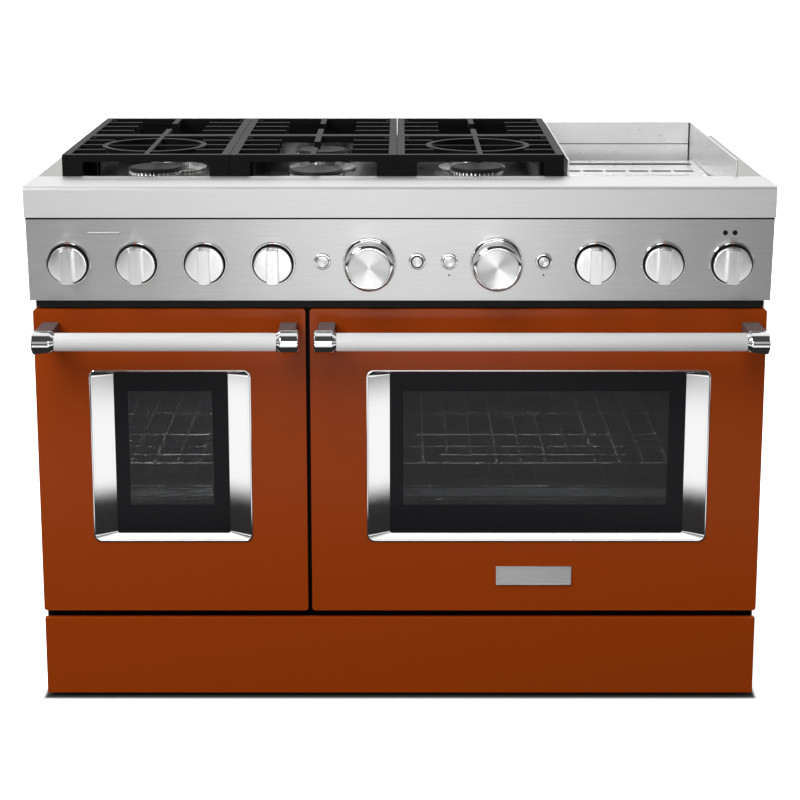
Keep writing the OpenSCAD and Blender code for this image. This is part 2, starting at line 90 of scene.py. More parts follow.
def linear(hex_colour: str) -> tuple[float, float, float, float]:
    """Turn an sRGB hex colour into a linear one.

    Args:
        hex_colour: Six hex digits, such as "8a3813".

    Returns:
        The linear colour, with an alpha of 1.
    """
    channels = [int(hex_colour[i : i + 2], 16) / 255 for i in (0, 2, 4)]
    curve = [c / 12.92 if c <= 0.04045 else ((c + 0.055) / 1.055) ** 2.4 for c in channels]
    return (curve[0], curve[1], curve[2], 1.0)


def add_node(
    tree: bpy.types.NodeTree, kind: str, links: dict[Any, Any] | None = None, **settings: Any
) -> Any:
    """Add one shader node.

    Args:
        tree: The node tree that takes the node.
        kind: The node's type, such as "ShaderNodeBump".
        links: Input name or number to the output socket that feeds it, or to a plain value.
        settings: Attributes of the node.

    Returns:
        The new node.
    """
    node = tree.nodes.new(kind)
    for name, value in settings.items():
        setattr(node, name, value)
    for name, value in (links or {}).items():
        if isinstance(value, bpy.types.NodeSocket):
            tree.links.new(value, node.inputs[name])
        else:
            node.inputs[name].default_value = value
    return node


@dataclass(frozen=True)
class Fade:
    """A soft step from 0 at its start to 1 at its end."""

    start: float
    end: float

    def links(self, value: Any) -> dict[str, Any]:
        """Return the inputs of a Map Range node that makes the step.

        Args:
            value: The output socket that the step follows.

        Returns:
            Input name to a socket or a number.
        """
        rising = self.start < self.end
        return {
            "Value": value,
            "From Min": min(self.start, self.end),
            "From Max": max(self.start, self.end),
            "To Min": 0.0 if rising else 1.0,
            "To Max": 1.0 if rising else 0.0,
        }


def calculated(
    tree: bpy.types.NodeTree, output: str, steps: Sequence[tuple[Any, ...]]
) -> dict[Any, Any]:
    """Wire up a sum on a place, row by row.

    Args:
        tree: The node tree that takes the nodes.
        output: The texture coordinate to start from, whose parts are called x, y and z.
        steps: Rows of a result's name, a Fade or a maths operation, and its numbers or earlier names.

    Returns:
        Each name's output socket.
    """
    start = add_node(tree, "ShaderNodeTexCoord")
    split = add_node(tree, "ShaderNodeSeparateXYZ", {"Vector": start.outputs[output]})
    found: dict[Any, Any] = {axis.lower(): split.outputs[axis] for axis in "XYZ"}
    for name, rule, *terms in steps:
        values = [found.get(term, term) for term in terms]
        if isinstance(rule, Fade):
            links = rule.links(values[0])
            node = add_node(tree, "ShaderNodeMapRange", links, interpolation_type="SMOOTHSTEP")
        else:
            node = add_node(tree, "ShaderNodeMath", dict(enumerate(values)), operation=rule)
        found[name] = node.outputs[0]
    return found


def split_by_ray(tree: bpy.types.NodeTree, mirrored: Any, direct: Any, output: str) -> None:
    """End a node tree with one shader for what the camera sees directly and another for the rest.

    Args:
        tree: The node tree.
        mirrored: The shader output that reflections and bounced light meet.
        direct: The shader output that the camera sees.
        output: The type of the tree's output node.
    """
    path = add_node(tree, "ShaderNodeLightPath")
    choice = {0: path.outputs["Is Camera Ray"], 1: mirrored, 2: direct}
    both = add_node(tree, "ShaderNodeMixShader", choice)
    add_node(tree, output, {"Surface": both.outputs[0]})


class Pattern(Enum):
    """How a surface was worked, which sets its grain."""

    PLAIN = "plain"
    BRUSHED_X = "brushed along X"
    BRUSHED_Z = "brushed along Z"
    CAST = "sand cast"
    PEEL = "sprayed enamel"
    SPECKLED = "speckled porcelain"
    SPANGLED = "zinc spangle"
    TURNED = "turned face"


# Noise cells per metre along X, Y and Z, and the depth of the bump in millimetres
GRAIN: dict[Pattern, tuple[tuple[float, float, float], float]] = {
    Pattern.PLAIN: ((60.0, 60.0, 60.0), 0.01),
    Pattern.BRUSHED_X: ((14.0, 420.0, 420.0), 0.004),
    Pattern.BRUSHED_Z: ((420.0, 420.0, 14.0), 0.004),
    Pattern.CAST: ((700.0, 700.0, 700.0), 0.12),
    Pattern.PEEL: ((260.0, 260.0, 260.0), 0.012),
    Pattern.SPECKLED: ((420.0, 420.0, 420.0), 0.01),
    Pattern.SPANGLED: ((70.0, 70.0, 70.0), 0.0),
    Pattern.TURNED: ((500.0, 500.0, 500.0), 0.006),
}


@dataclass(frozen=True)
class Finish:
    """One real finish and the numbers that give its look."""

    name: str
    colour: str
    metallic: float
    roughness: float
    pattern: Pattern
    contrast: float = 0.12
    specular: float = 0.5
    alpha: float = 1.0
    anisotropic: float = 0.0
    turn: float = 0.0
    rough_spread: float = 0.08
    emission: float = 0.0
    slot: str = ""

    def material(self) -> bpy.types.Material:
        """Return this finish's material, made on first use."""
        made = bpy.data.materials.get(self.name)
        return made if made else self._build()

    def _build(self) -> bpy.types.Material:
        """Make the node tree, in which colour, roughness and bump all follow the worked grain.

        Returns:
            The new material.
        """
        material = bpy.data.materials.new(self.name)
        material.use_nodes = True
        tree = material.node_tree
        tree.nodes.clear()
        cells, depth = GRAIN[self.pattern]
        start = add_node(tree, "ShaderNodeTexCoord")
        scaled = add_node(tree, "ShaderNodeMapping", {"Vector": start.outputs["Object"], "Scale": cells})
        links = {"Vector": scaled.outputs[0], "Scale": 1.0}
        if self.pattern in (Pattern.SPECKLED, Pattern.SPANGLED):
            value = add_node(tree, "ShaderNodeTexVoronoi", links).outputs["Color"]
        else:
            value = add_node(tree, "ShaderNodeTexNoise", {**links, "Detail": 4.0}).outputs["Fac"]
        base = Vector(linear(self.colour)[:3])
        dark = [c * (1 - self.contrast) for c in base]
        light = [min(1.0, c * (1 + self.contrast)) for c in base]
        tint = add_node(
            tree,
            "ShaderNodeMix",
            {"Factor": value, MIX_A: (*dark, 1.0), MIX_B: (*light, 1.0)},
            data_type="RGBA",
        )
        rough = add_node(
            tree,
            "ShaderNodeMapRange",
            {
                "Value": value,
                "To Min": max(SMOOTHEST, self.roughness - self.rough_spread),
                "To Max": min(1.0, self.roughness + self.rough_spread),
            },
        )
        shader = add_node(
            tree,
            "ShaderNodeBsdfPrincipled",
            {
                "Base Color": tint.outputs[MIX_RESULT],
                "Roughness": rough.outputs[0],
                "Metallic": self.metallic,
                "Specular IOR Level": self.specular,
                "Alpha": self.alpha,
                "Anisotropic": self.anisotropic,
                "Anisotropic Rotation": self.turn,
            },
        )
        if self.emission:
            shader.inputs["Emission Color"].default_value = linear(self.colour)
            shader.inputs["Emission Strength"].default_value = self.emission
        if depth:
            bump = add_node(
                tree, "ShaderNodeBump", {"Height": value, "Distance": depth * MM, "Strength": 1.0}
            )
            tree.links.new(bump.outputs[0], shader.inputs["Normal"])
        if self.anisotropic:
            # A turned face was cut in circles about an axis close to Y, and sheet was brushed along X
            axis = "Y" if self.pattern is Pattern.TURNED else "X"
            circles = add_node(tree, "ShaderNodeTangent", direction_type="RADIAL", axis=axis)
            tree.links.new(circles.outputs[0], shader.inputs["Tangent"])
        add_node(tree, "ShaderNodeOutputMaterial", {"Surface": shader.outputs[0]})
        return material


# Brushed sheet reads as pale grey with fine level streaks; the streaks are drawn wider than real grit
BRUSHED_SHEET = Finish(
    "Brushed stainless sheet", "c6c6c6", 1.0, 0.38, Pattern.BRUSHED_X, contrast=0.12, anisotropic=0.8,
    slot="brushed_stainless",
)
SIDE_SHEET = Finish(
    "Brushed stainless side", "d2d2d2", 0.9, 0.38, Pattern.BRUSHED_Z, contrast=0.08, slot="brushed_stainless"
)
BRUSHED_BAR = Finish(
    "Brushed stainless tube", "f0f0f0", 0.75, 0.55, Pattern.BRUSHED_X, contrast=0.06, anisotropic=0.9,
    slot="brushed_stainless",
)
# The landing ledge is ground coarser, so it stays pale in front of the black grates
LEDGE_SHEET = Finish(
    "Brushed stainless ledge", "d6d6d6", 0.88, 0.5, Pattern.BRUSHED_X, contrast=0.08, anisotropic=0.3,
    slot="brushed_stainless",
)
# Baked enamel is deep and even, with a faint orange peel that softens its reflections
ENAMEL = Finish(
    "Burnt orange enamel", "8a3609", 0.0, 0.22, Pattern.PEEL, contrast=0.02, specular=0.09,
    rough_spread=0.03, slot="orange_enamel",
)
CHROME = Finish(
    "Polished chrome", "f2f2f2", 1.0, 0.05, Pattern.PLAIN, contrast=0.01, rough_spread=0.02,
    slot="polished_chrome",
)
# The lower slope of the window trim is painted near white, a painted highlight for the light above that it
# faces
HIGHLIGHT_CHROME = Finish(
    "Chrome slope with painted highlight", "fafafa", 0.2, 0.25, Pattern.PLAIN, contrast=0.01, slot="polished_chrome"
)
# The arms behind the caps are painted dark grey as a painted reflection, the dark of the door's own
# reflection
SHADED_ARM_CHROME = Finish(
    "Chrome arm with painted dark reflection", "4e5255", 0.0, 0.3, Pattern.PLAIN, contrast=0.03, rough_spread=0.02,
    slot="polished_chrome",
)
CAST_IRON = Finish(
    "Black enamelled cast iron", "050505", 0.0, 0.5, Pattern.CAST, contrast=0.35, specular=0.12,
    slot="cast_iron_enamel",
)
CAP_ENAMEL = Finish(
    "Matte black cap enamel", "121212", 0.0, 0.50, Pattern.CAST, contrast=0.3, specular=0.35,
    slot="burner_cap_enamel",
)
BLACK_STEEL = Finish(
    "Black painted steel", "090909", 0.0, 0.55, Pattern.PEEL, contrast=0.2, specular=0.2, slot="black_steel"
)
PORCELAIN = Finish(
    "Speckled oven porcelain", "3a3c42", 0.0, 0.30, Pattern.SPECKLED, contrast=0.5, slot="oven_enamel"
)
GLASS = Finish(
    "Smoked oven glass", "08080a", 0.0, 0.05, Pattern.PLAIN, contrast=0.05, specular=0.07, alpha=0.5,
    rough_spread=0.01, slot="dark_glass",
)
# The black enamel behind the glass has a painted glow, so it stays a flat charcoal, paler than the oven that
# shows beside it
GLOWING_BORDER = Finish(
    "Black glass border with painted glow", "2c2c2e", 0.0, 0.35, Pattern.PLAIN, contrast=0.1, specular=0.1, emission=1.1,
    slot="dark_glass",
)
ZINC = Finish(
    "Galvanised sheet", "c6cacc", 0.8, 0.45, Pattern.SPANGLED, contrast=0.12, slot="galvanised_steel"
)
SATIN_STEEL = Finish(
    "Satin stainless cooktop", "9c9c9a", 1.0, 0.24, Pattern.BRUSHED_X, contrast=0.06, slot="cooktop_stainless"
)
# The walls round the griddle are painted lighter than the deck, a painted highlight for the light from above
# that they catch
HIGHLIGHT_WALL_STEEL = Finish(
    "Splash wall steel with painted highlight", "e6e6e6", 0.88, 0.3, Pattern.PLAIN, contrast=0.02, slot="cooktop_stainless"
)
# The sunken pan is smoother than the deck and mirrors the dark grates over it; its colour is painted darker
# than the deck's as painted shade under the grates
SHADED_PAN_STEEL = Finish(
    "Burner pan with painted shade", "6e6e6e", 1.0, 0.13, Pattern.BRUSHED_X, contrast=0.05, rough_spread=0.03,
    slot="cooktop_stainless",
)
KNOB_STEEL = Finish(
    "Satin knob steel", "f2f2f2", 1.0, 0.22, Pattern.BRUSHED_Z, contrast=0.05, slot="knob_metal"
)
# The face is cut in fine circles, which fan its reflections out from the middle
DIAL_FACE = Finish(
    "Turned dial face", "e0e0e0", 1.0, 0.34, Pattern.TURNED, contrast=0.04, anisotropic=0.92, turn=0.25,
    slot="knob_metal",
)
# Hard chrome on the griddle is ground satin, so it mirrors only the bright room
GRIDDLE_CHROME = Finish(
    "Chromed griddle", "e4e4e4", 0.9, 0.16, Pattern.BRUSHED_X, contrast=0.05, slot="polished_chrome"
)
ALLOY = Finish("Cast burner alloy", "e0e0de", 1.0, 0.32, Pattern.CAST, contrast=0.15, slot="burner_alloy")
BRASS = Finish("Valve brass", "b08a4a", 1.0, 0.32, Pattern.PLAIN, contrast=0.1, slot="valve_brass")
WIRE = Finish("Nickel plated wire", "b4b4b4", 1.0, 0.42, Pattern.PLAIN, contrast=0.05, slot="rack_wire")
LAMP = Finish(
    "Lamp cover glass", "fff2d8", 0.0, 0.15, Pattern.PLAIN, contrast=0.02, emission=1.5, slot="lamp_glass"
)
# A faint grey film inside the pane is a painted reflection that veils the oven in grey
SHEEN_FILM = Finish(
    "Pane film with painted reflection", "cacacc", 0.0, 0.5, Pattern.PLAIN, contrast=0.05, specular=0.1, alpha=0.33,
    slot="dark_glass",
)
WINDOW_DOT = Finish("Dark sensor window", "101010", 0.0, 0.12, Pattern.PLAIN, contrast=0.1, slot="indicator")
PALE_STRIP = Finish("Frosted light strip", "dededc", 0.0, 0.4, Pattern.PLAIN, contrast=0.03, slot="indicator")
INDEX_RED = Finish("Index mark enamel", "b8371c", 0.0, 0.35, Pattern.PLAIN, contrast=0.05, slot="indicator")


# ---------------------------------------------------------------- modelling helpers


def deselect() -> None:
    """Leave nothing selected, in object mode."""
    if bpy.context.object and bpy.context.object.mode != "OBJECT":
        bpy.ops.object.mode_set(mode="OBJECT")
    bpy.ops.object.select_all(action="DESELECT")


def activate(piece: bpy.types.Object) -> None:
    """Select one object alone and make it active."""
    deselect()
    piece.select_set(True)
    bpy.context.view_layer.objects.active = piece


@contextmanager
def editing(choice: str | None = "SELECT") -> Iterator[None]:
    """Work on the active piece in edit mode.

    Args:
        choice: "SELECT" or "DESELECT" for all of it first, or None to keep what is selected.
    """
    bpy.ops.object.mode_set(mode="EDIT")
    if choice:
        bpy.ops.mesh.select_all(action=choice)
    yield
    bpy.ops.object.mode_set(mode="OBJECT")


def recalculated(piece: bpy.types.Object) -> bpy.types.Object:
    """Merge a piece's doubles and turn its faces outwards.

    Args:
        piece: The piece, which is changed and left active.

    Returns:
        The same piece.
    """
    activate(piece)
    with editing():
        bpy.ops.mesh.remove_doubles(threshold=1e-6)
        bpy.ops.mesh.normals_make_consistent(inside=False)
    return piece


def smooth(piece: bpy.types.Object, angle: float = 35.0) -> bpy.types.Object:
    """Shade a piece smooth across its gentle edges.

    Args:
        piece: The piece, which is changed.
        angle: Faces that meet at less than this many degrees are shaded as one.

    Returns:
        The same piece.
    """
    activate(piece)
    bpy.ops.object.shade_smooth_by_angle(angle=math.radians(angle))
    flatter = piece.modifiers.new("weighted", "WEIGHTED_NORMAL")
    flatter.keep_sharp = True
    bpy.ops.object.modifier_apply(modifier=flatter.name)
    return piece


def place(piece: bpy.types.Object, matrix: Matrix) -> bpy.types.Object:
    """Move a piece made about the origin to its place, and keep the place in its mesh.

    Args:
        piece: The piece, which is changed.
        matrix: Its place.

    Returns:
        The same piece.
    """
    piece.matrix_world = matrix
    activate(piece)
    bpy.ops.object.transform_apply(location=True, rotation=True, scale=True)
    return piece


def turned(name: str, profile: Profile, ring: bool = False, sides: int = 96) -> bpy.types.Object:
    """Turn a round piece about Z, loop by loop, as on a lathe.

    Args:
        name: The piece's name.
        profile: Radius and height of each loop, in millimetres, from the inside or the foot.
        ring: Whether the last loop joins the first, which leaves a hole through the middle.
        sides: Vertices of each loop.

    Returns:
        The piece, about the origin.
    """
    deselect()
    radius, height = profile[0]
    bpy.ops.mesh.primitive_circle_add(vertices=sides, radius=radius * MM, location=(0, 0, height * MM))
    piece = bpy.context.object
    piece.name = name
    bpy.ops.object.transform_apply(location=True, rotation=True, scale=True)
    with editing():
        if not ring:
            bpy.ops.mesh.edge_face_add()
        loops = [*profile[1:], profile[0]] if ring else profile[1:]
        for next_radius, next_height in loops:
            rise = (0, 0, (next_height - height) * MM)
            bpy.ops.mesh.extrude_region_move(TRANSFORM_OT_translate={"value": rise})
            share = next_radius / radius
            bpy.ops.transform.resize(value=(share, share, 1), center_override=(0, 0, next_height * MM))
            radius, height = next_radius, next_height
    return smooth(recalculated(piece))


def block(
    name: str, low: Sequence[float], high: Sequence[float], rounding: float, segments: int = 3
) -> bpy.types.Object:
    """Add a block with all its edges rounded.

    Args:
        name: The block's name.
        low: Its lowest corner in metres.
        high: Its highest corner in metres.
        rounding: Radius of the rounding in millimetres.
        segments: Faces across each rounding.

    Returns:
        The block.
    """
    deselect()
    low_corner, high_corner = Vector(low), Vector(high)
    bpy.ops.mesh.primitive_cube_add(size=1, location=(low_corner + high_corner) / 2)
    piece = bpy.context.object
    piece.name = name
    piece.scale = high_corner - low_corner
    bpy.ops.object.transform_apply(location=True, rotation=True, scale=True)
    with editing():
        bpy.ops.mesh.bevel(offset=rounding * MM, segments=segments, affect="EDGES", clamp_overlap=True)
    return smooth(piece)


def rounded_loop(
    name: str, middle: Vector, size: tuple[float, float], radius: float, y: float
) -> bpy.types.Object:
    """Make an upright loop of edges, a rectangle with rounded corners.

    Args:
        name: The loop's name.
        middle: Its middle, of which X and Z are used, in metres.
        size: Its width and height in millimetres.
        radius: Radius of its corners in millimetres.
        y: Where its plane lies, in metres.

    Returns:
        The loop, a mesh of edges alone.
    """
    deselect()
    bpy.ops.mesh.primitive_plane_add(size=1, rotation=(math.pi / 2, 0, 0), location=(middle.x, y, middle.z))
    loop = bpy.context.object
    loop.name = name
    loop.scale = (size[0] * MM, size[1] * MM, 1)
    bpy.ops.object.transform_apply(location=True, rotation=True, scale=True)
    with editing():
        bpy.ops.mesh.bevel(offset=radius * MM, segments=8, affect="VERTICES")
        bpy.ops.mesh.select_all(action="SELECT")
        bpy.ops.mesh.delete(type="ONLY_FACE")
    return loop


def joined(name: str, parts: Sequence[bpy.types.Object]) -> bpy.types.Object:
    """Join parts into one piece.

    Args:
        name: The piece's name.
        parts: What it is joined from, of which the first one is kept.

    Returns:
        The piece.
    """
    deselect()
    for part in parts:
        part.select_set(True)
    bpy.context.view_layer.objects.active = parts[0]
    bpy.ops.object.join()
    parts[0].name = name
    return parts[0]


def copied(piece: bpy.types.Object, name: str) -> bpy.types.Object:
    """Copy a piece with a mesh of its own.

    Args:
        piece: What is copied.
        name: The copy's name.

    Returns:
        The copy.
    """
    twin = piece.copy()
    twin.data = piece.data.copy()
    twin.name = name
    bpy.context.scene.collection.objects.link(twin)
    return twin


def paint(piece: bpy.types.Object, finish: Finish) -> bpy.types.Object:
    """Give a whole piece one finish.

    Args:
        piece: The piece, which is changed.
        finish: Its finish.

    Returns:
        The same piece.
    """
    piece.data.materials.clear()
    piece.data.materials.append(finish.material())
    return piece


def paint_where(piece: bpy.types.Object, finish: Finish, chosen: Callable[[Any], bool]) -> None:
    """Give some faces of a piece a second finish.

    Args:
        piece: The piece, which is changed.
        finish: The second finish.
        chosen: Says of a face, by its place or normal, whether it takes the finish.
    """
    piece.data.materials.append(finish.material())
    index = len(piece.data.materials) - 1
    for polygon in piece.data.polygons:
        if chosen(polygon):
            polygon.material_index = index


def settle(piece: bpy.types.Object, body: str, finish: Finish, *nodes: str) -> bpy.types.Object:
    """Ride a finished piece on its body and report it.

    Args:
        piece: The piece.
        body: The body that it moves with.
        finish: Not used.
        nodes: The frame nodes that it stands for.

    Returns:
        The same piece.
    """
    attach(piece, body)
    if nodes:
        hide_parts(*nodes)
    LOG.info("%s: %d faces on %s", piece.name, len(piece.data.polygons), body)
    return piece


def select_sharp_edges(piece: bpy.types.Object, shortest: float, crease: float = 30.0) -> None:
    """Select the edges that are to be rounded, and leave the piece active.

    Args:
        piece: The piece.
        shortest: The length in metres that an edge must have.
        crease: The angle in degrees that its two faces must be turned from each other.
    """
    mesh = piece.data
    faces_of: dict[tuple[int, int], list[Vector]] = {}
    for polygon in mesh.polygons:
        for key in polygon.edge_keys:
            faces_of.setdefault(key, []).append(polygon.normal.copy())
    limit = math.cos(math.radians(crease))
    activate(piece)
    with editing(None):
        bpy.ops.mesh.select_mode(type="EDGE")
        bpy.ops.mesh.select_all(action="DESELECT")
    for edge in mesh.edges:
        normals = faces_of.get(edge.key, [])
        a, b = (mesh.vertices[i].co for i in edge.vertices)
        sharp = len(normals) == 2 and normals[0].dot(normals[1]) < limit
        edge.select = sharp and (a - b).length >= shortest


def round_selected(radius: float, segments: int) -> None:
    """Round the active piece's selected edges by a radius in millimetres."""
    with editing(None):
        bpy.ops.mesh.bevel(offset=radius * MM, segments=segments, affect="EDGES", clamp_overlap=True)


@dataclass
class Range:
    """What the frame says about the range."""

    frame: dict[str, Any]
    joints: dict[str, dict[str, Any]] = field(default_factory=dict)

    def __post_init__(self) -> None:
        """Index the joints by name."""
        self.joints = {joint["name"]: joint for joint in self.frame["joints"]}

    def body_of(self, node: str) -> str:
        """Return the name of the body that a node rides on."""
        bodies = self.frame["record"]["behaviour"]["bodies"]
        return next(body for body, members in bodies.items() if node in members)

    def dress(self, node: str, finish: Finish) -> None:
        """Give a frame node that keeps its shape a finish of its own."""
        paint(self.frame["nodes"][node], finish)

    def fresh_copy(self, node: str) -> bpy.types.Object:
        """Copy a frame node's shape into a new piece that carries none of its ties.

        Args:
            node: The frame node.

        Returns:
            The copy, named after the node, its doubles merged.
        """
        piece = copied(self.frame["nodes"][node], node + "_finished")
        piece.parent = None
        for key in list(piece.keys()):
            del piece[key]
        return recalculated(piece)

    def smoothed(self, node: str, finish: Finish, angle: float = 50.0) -> bpy.types.Object:
        """Stand in for a node of round wires and tubes with a copy that is shaded smooth.

        Args:
            node: The frame node.
            finish: The copy's finish.
            angle: Faces that meet at less than this many degrees are shaded as one.

        Returns:
            The new piece.
        """
        piece = paint(smooth(self.fresh_copy(node), angle), finish)
        return settle(piece, self.body_of(node), finish, node)

    def softened(
        self, node: str, edge: float, finish: Finish, segments: int = 2, shortest: float = 5.0
    ) -> bpy.types.Object:
        """Stand in for a node with a copy whose edges are rounded, as folded sheet and castings are.

        Args:
            node: The frame node.
            edge: Radius of the rounding in millimetres.
            finish: The copy's finish.
            segments: Faces across each rounding.
            shortest: Edges shorter than this many millimetres stay as they are.

        Returns:
            The new piece.
        """
        piece = self.fresh_copy(node)
        with editing():
            bpy.ops.mesh.dissolve_limited(angle_limit=math.radians(0.5))
            bpy.ops.mesh.select_all(action="DESELECT")
        select_sharp_edges(piece, shortest * MM)
        round_selected(edge, segments)
        paint(smooth(piece, 32), finish)
        return settle(piece, self.body_of(node), finish, node)


# ---------------------------------------------------------------- sub-assemblies


@dataclass
class Shell:
    """Side, back and base panels, kick panel, legs and inner frame.

    The shadow strip at the seam under the front ledge is black as a painted shadow line: its half
    width, its front and back behind the ledge's front, and its foot and top about the ledge's foot,
    in millimetres.
    """

    unit: Range
    fold: float = 0.8
    kick_edge: float = 1.8
    shadow_strip_half: float = 606.5
    shadow_strip_front: float = 4.6
    shadow_strip_back: float = 9.0
    shadow_strip_foot: float = -3.6
    shadow_strip_top: float = 0.2

    def build(self) -> None:
        """Round the folded sheets and dress them."""
        self.unit.softened("side_panels", self.fold, SIDE_SHEET)
        self.unit.softened("back_panel", self.fold, ZINC, shortest=60)
        self.unit.softened("kick_panel", self.kick_edge, ENAMEL, segments=3)
        self.unit.softened("front_ledge", self.fold, LEDGE_SHEET, shortest=12)
        self.add_shadow_strip()
        self.unit.softened("control_panel", self.fold, BRUSHED_SHEET, shortest=30)
        for node, finish in {
            "base_pan": ZINC,
            "levelling_legs": BLACK_STEEL,
            "front_frame": BLACK_STEEL,
            "gas_manifold": BRASS,
            "gas_inlet": BRASS,
            "indicator_lamps": WINDOW_DOT,
        }.items():
            self.unit.dress(node, finish)

    def add_shadow_strip(self) -> None:
        """Add a black strip at the seam under the front ledge, painted as its shadow line."""
        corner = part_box("front_ledge")[0]
        half = self.shadow_strip_half * MM
        start = (-half, corner.y + self.shadow_strip_front * MM, corner.z + self.shadow_strip_foot * MM)
        end = (half, corner.y + self.shadow_strip_back * MM, corner.z + self.shadow_strip_top * MM)
        settle(paint(block("ledge_shadow_strip", start, end, 0.2, 1), BLACK_STEEL), BODY, BLACK_STEEL)


@dataclass
class Knobs:
    """Burner knobs, oven dials, push buttons and their bezels, all square to the tilted panel.

    Sizes are in millimetres. The corners of a bezel's index mark, and of the light strip and the
    painted shadow line under it, are in metres about the place of a burner knob.
    """

    unit: Range
    skirt_r: float = 31.0
    skirt_top: float = 13.0
    grip_top: float = 28.0
    grip_half: float = 11.5
    grip_taper: float = 0.07
    grip_edge: float = 1.3
    stem_r: float = 4.0
    stem_depth: float = 15.0
    dial_rim: Profile = (
        (36, 3.2), (39.6, 3.2), (40.5, 4.4), (40.5, 25), (39.8, 28), (38.0, 30.4), (35.2, 31.6),
        (34.2, 31.2), (34.0, 30.4), (33.6, 31.0), (33.4, 33.8), (32.6, 35), (31.5, 34.6), (6, 33.8),
    )
    dial_face_r: float = 32.9
    dial_face_foot: float = 33.5
    knob_bezel: Place = (37.0, 34.0, 4.5)
    dial_bezel: Place = (43.5, 41.0, 2.4)
    recess_r: float = 9.0
    button_rise: float = 5.0
    button_cap: Profile = (
        (4, -14), (4, -9), (9.4, -9), (9.7, 2.6), (9.2, 3.6), (8.2, 4.0), (5, 3.7),
    )
    button_ring: Profile = (
        (10.4, 0), (13.6, 0), (14, 0.5), (13.4, 2.0), (12.4, 2.6), (10.9, 2.6), (10.4, 2.0),
    )
    ringed_buttons: tuple[int, int] = (2, 4)
    index_mark_corners: Corners = ((-0.0008, 0.0338, 0.0040), (0.0008, 0.0372, 0.0050))
    light_slit_corners: Corners = ((0.0336, 0.0506, -0.0006), (0.0854, 0.0528, 0.0003))
    slit_shadow_corners: Corners = ((0.0330, 0.0496, -0.0006), (0.0860, 0.0508, 0.0002))

    def seat(self, joint: str) -> Matrix:
        """Return the place of a turning control on the panel, its Z pointing out."""
        found = self.unit.joints[joint]
        return self.facing(Vector(found["pos_m"]), Vector(found["axis"]))

    def facing(self, point: Vector, axis: Vector) -> Matrix:
        """Turn a place square to the panel.

        Args:
            point: The place's origin.
            axis: The way that its Z points.

        Returns:
            The place, with its Y up the panel.
        """
        across = Vector((1, 0, 0))
        up = axis.cross(across).normalized()
        basis = Matrix((across, up, axis.normalized())).transposed()
        return Matrix.Translation(point) @ basis.to_4x4()

    def burner_knob(self) -> bpy.types.Object:
        """Model one burner knob about the origin: skirt, grip bar and stem.

        Returns:
            The knob, to be copied.
        """
        r, top = self.skirt_r, self.skirt_top
        skirt = turned(
            "skirt",
            [(28, 2.4), (r - 0.6, 2.4), (r, 3.2), (r, top - 1.8), (r - 0.6, top - 0.5), (r - 2.0, top),
             (12, top - 0.2)],
        )
        grip = turned("grip", [(r - 0.4, top - 4), (r - 0.6, top), (r - 1.6, self.grip_top)])
        with editing(None):
            for side in (-1, 1):
                bpy.ops.mesh.select_all(action="SELECT")
                bpy.ops.mesh.bisect(
                    plane_co=(side * self.grip_half * MM, 0, 0), plane_no=(side, 0, self.grip_taper),
                    use_fill=True, clear_outer=True,
                )
        select_sharp_edges(grip, 0)
        round_selected(self.grip_edge, 3)
        parts = [skirt, smooth(grip), self.stem(3)]
        return joined("burner_knob", [paint(piece, KNOB_STEEL) for piece in parts])

    def stem(self, top: float) -> bpy.types.Object:
        """Model the shaft behind a knob, up to a height in millimetres."""
        return turned("stem", [(self.stem_r, -self.stem_depth), (self.stem_r, top)], sides=32)

    def oven_dial(self) -> bpy.types.Object:
        """Model one oven dial about the origin: polished rim, turned face and stem.

        Returns:
            The dial, to be copied.
        """
        rim = paint(turned("rim", self.dial_rim), CHROME)
        foot, face_r = self.dial_face_foot * MM, self.dial_face_r * MM
        paint_where(rim, DIAL_FACE, lambda f: f.center.z > foot and f.center.xy.length < face_r)
        return joined("oven_dial", [rim, paint(self.stem(4), KNOB_STEEL)])

    def bezel(self, outer: float, inner: float, rise: float) -> bpy.types.Object:
        """Model a polished bezel ring with a dark recess inside it, about the origin.

        Args:
            outer: Radius of its outside in millimetres.
            inner: Radius of its hole in millimetres.
            rise: Its height in millimetres.

        Returns:
            The bezel, to be copied.
        """
        ring = turned(
            "ring",
            [(inner, 0), (outer - 0.2, 0), (outer, 0.6), (outer - 0.5, rise - 0.6), (outer - 1.2, rise),
             (inner + 0.5, rise), (inner, rise - 0.5)],
            ring=True,
        )
        paint(ring, CHROME)
        hole = self.recess_r
        floor = turned("floor", [(hole, 0.2), (inner, 0.2), (inner, 0.8), (hole, 0.8)], ring=True)
        return joined("bezel", [ring, paint(floor, BLACK_STEEL)])

    def inlay(self, mark: bpy.types.Object, seat: Matrix, finish: Finish) -> None:
        """Set a small block made about a knob's place into the panel or a bezel."""
        settle(place(paint(mark, finish), seat), BODY, finish)

